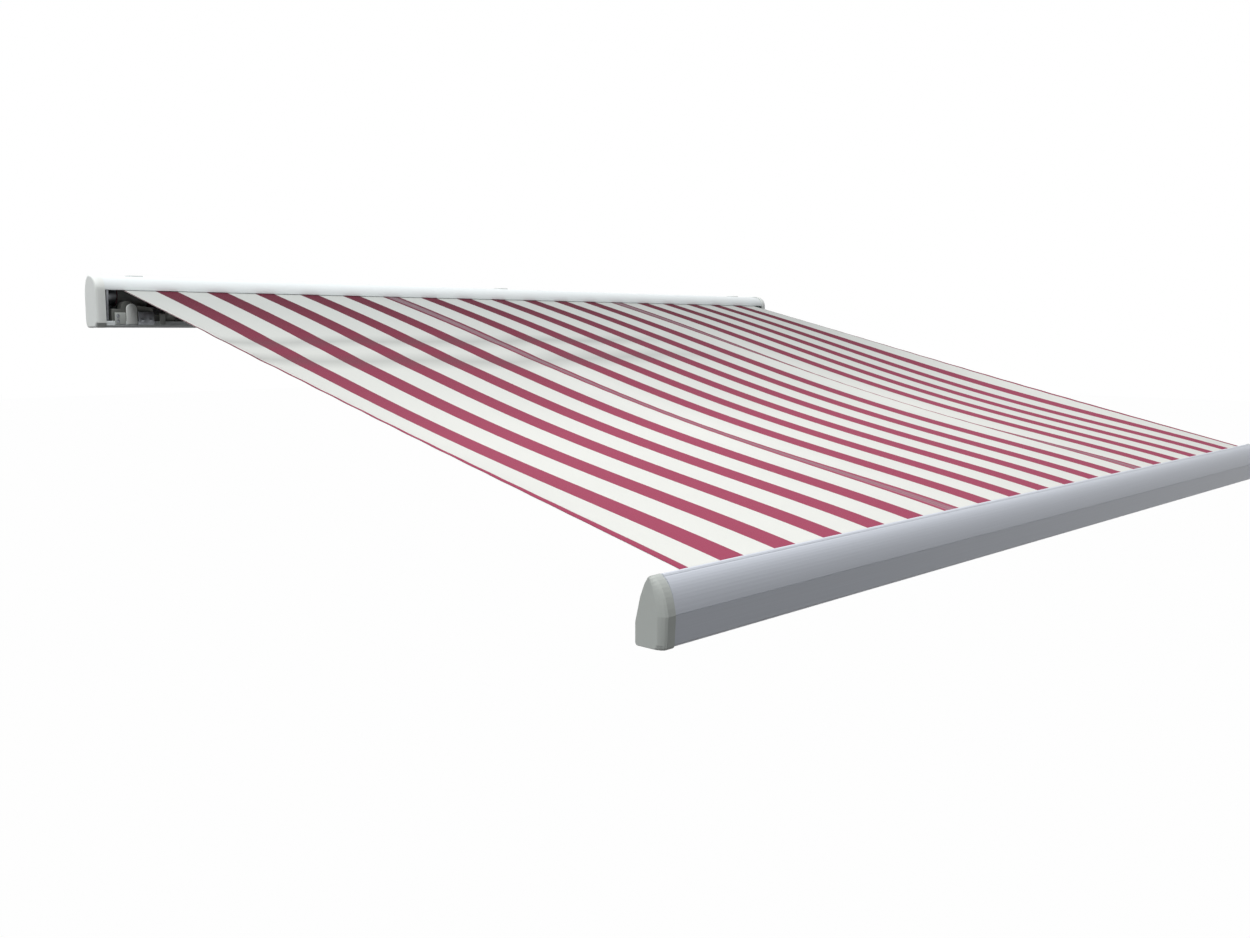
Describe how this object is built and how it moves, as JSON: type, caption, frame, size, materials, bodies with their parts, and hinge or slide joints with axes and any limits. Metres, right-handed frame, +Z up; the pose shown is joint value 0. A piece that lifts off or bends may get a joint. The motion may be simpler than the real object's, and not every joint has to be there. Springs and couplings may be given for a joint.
{
  "type": "fabric awning",
  "caption": "Wall-mounted folding-arm awning in a full cassette, opened out: striped cloth from a roller to a front bar, held taut by two jointed arms.",
  "frame": {"origin": "middle of the centre wall bracket's flat back face, which lies on the wall", "axes": "+X along the wall towards the motor end, +Y into the wall, +Z up"},
  "size_m": [3.4122, 2.4684, 0.732],
  "materials": {
    "white_paint": "smooth semi-gloss powder coat",
    "white_plastic": "satin moulded plastic",
    "silver": "satin anodised",
    "grey_plastic": "fine moulded grain",
    "cast_aluminium": "blasted casting",
    "steel": "galvanised",
    "dark_plastic": "moulded",
    "cloth": "woven acrylic in wide stripes"
  },
  "bodies": {
    "root": {"wall_bracket_left": "white_paint", "wall_bracket_centre": "white_paint", "wall_bracket_right": "white_paint", "clamp_screw_left": "steel", "clamp_screw_centre": "steel", "clamp_screw_right": "steel", "cassette_housing": "white_paint", "cassette_tray": "white_paint", "end_cap_left": "white_plastic", "end_cap_right": "white_plastic", "bearing_plate_left": "steel", "bearing_plate_right": "steel", "idler_bush": "white_plastic", "motor_body": "steel", "motor_head": "dark_plastic", "shoulder_console_left": "cast_aluminium", "shoulder_console_right": "cast_aluminium", "shoulder_pin_left": "steel", "shoulder_pin_right": "steel", "fabric": "cloth"},
    "roller": {"roller_tube": "steel", "roller_keder_rod": "dark_plastic", "idler_plug": "dark_plastic", "drive_wheel": "dark_plastic", "crown_ring": "dark_plastic", "fabric_wrap": "cloth"},
    "front_bar": {"front_bar": "silver", "front_keder_rod": "dark_plastic", "front_bar_cap_left": "grey_plastic", "front_bar_cap_right": "grey_plastic", "front_bracket_left": "cast_aluminium", "front_bracket_right": "cast_aluminium", "front_pin_left": "steel", "front_pin_right": "steel"},
    "upper_arm_left": {"shoulder_knuckle_left": "cast_aluminium", "upper_arm_left": "white_paint", "arm_spring_left": "steel", "elbow_fork_left": "cast_aluminium", "elbow_pin_left": "steel"},
    "forearm_left": {"elbow_tongue_left": "cast_aluminium", "forearm_left": "white_paint", "front_knuckle_left": "cast_aluminium"},
    "upper_arm_right": {"shoulder_knuckle_right": "cast_aluminium", "upper_arm_right": "white_paint", "arm_spring_right": "steel", "elbow_fork_right": "cast_aluminium", "elbow_pin_right": "steel"},
    "forearm_right": {"elbow_tongue_right": "cast_aluminium", "forearm_right": "white_paint", "front_knuckle_right": "cast_aluminium"}
  },
  "joints": [
    {"name": "shoulder_left", "type": "hinge", "parent": "root", "child": "upper_arm_left", "pos_m": [-1.40514, -0.117, -0.0199], "axis": [0, -0.2383, 0.9712], "range_deg": [0, 74.21], "deforming": ["fabric"]},
    {"name": "elbow_left", "type": "hinge", "parent": "upper_arm_left", "child": "forearm_left", "pos_m": [-1.10685, -1.27892, -0.30495], "axis": [0, -0.2383, 0.9712], "range_deg": [-148.42, 0]},
    {"name": "bar_pivot_left", "type": "hinge", "parent": "forearm_left", "child": "front_bar", "pos_m": [-1.40514, -2.44084, -0.59], "axis": [0, -0.2383, 0.9712], "range_deg": [0, 74.21]},
    {"name": "shoulder_right", "type": "hinge", "parent": "root", "child": "upper_arm_right", "pos_m": [1.40514, -0.117, -0.0199], "axis": [0, -0.2383, 0.9712], "range_deg": [-74.21, 0]},
    {"name": "elbow_right", "type": "hinge", "parent": "upper_arm_right", "child": "forearm_right", "pos_m": [1.10685, -1.27892, -0.30495], "axis": [0, -0.2383, 0.9712], "range_deg": [0, 148.42]},
    {"name": "roller_spin", "type": "hinge", "parent": "root", "child": "roller", "pos_m": [0, -0.054, 0.02], "axis": [1, 0, 0], "range_deg": [-3656, 0]}
  ],
  "couplings": [
    {"joint": "shoulder_left", "follows": "elbow_left", "ratio": -0.5},
    {"joint": "bar_pivot_left", "follows": "elbow_left", "ratio": -0.5},
    {"joint": "shoulder_right", "follows": "elbow_left", "ratio": 0.5},
    {"joint": "elbow_right", "follows": "elbow_left", "ratio": -1},
    {"joint": "roller_spin", "follows": "elbow_left", "ratio": 24.626}
  ]
}
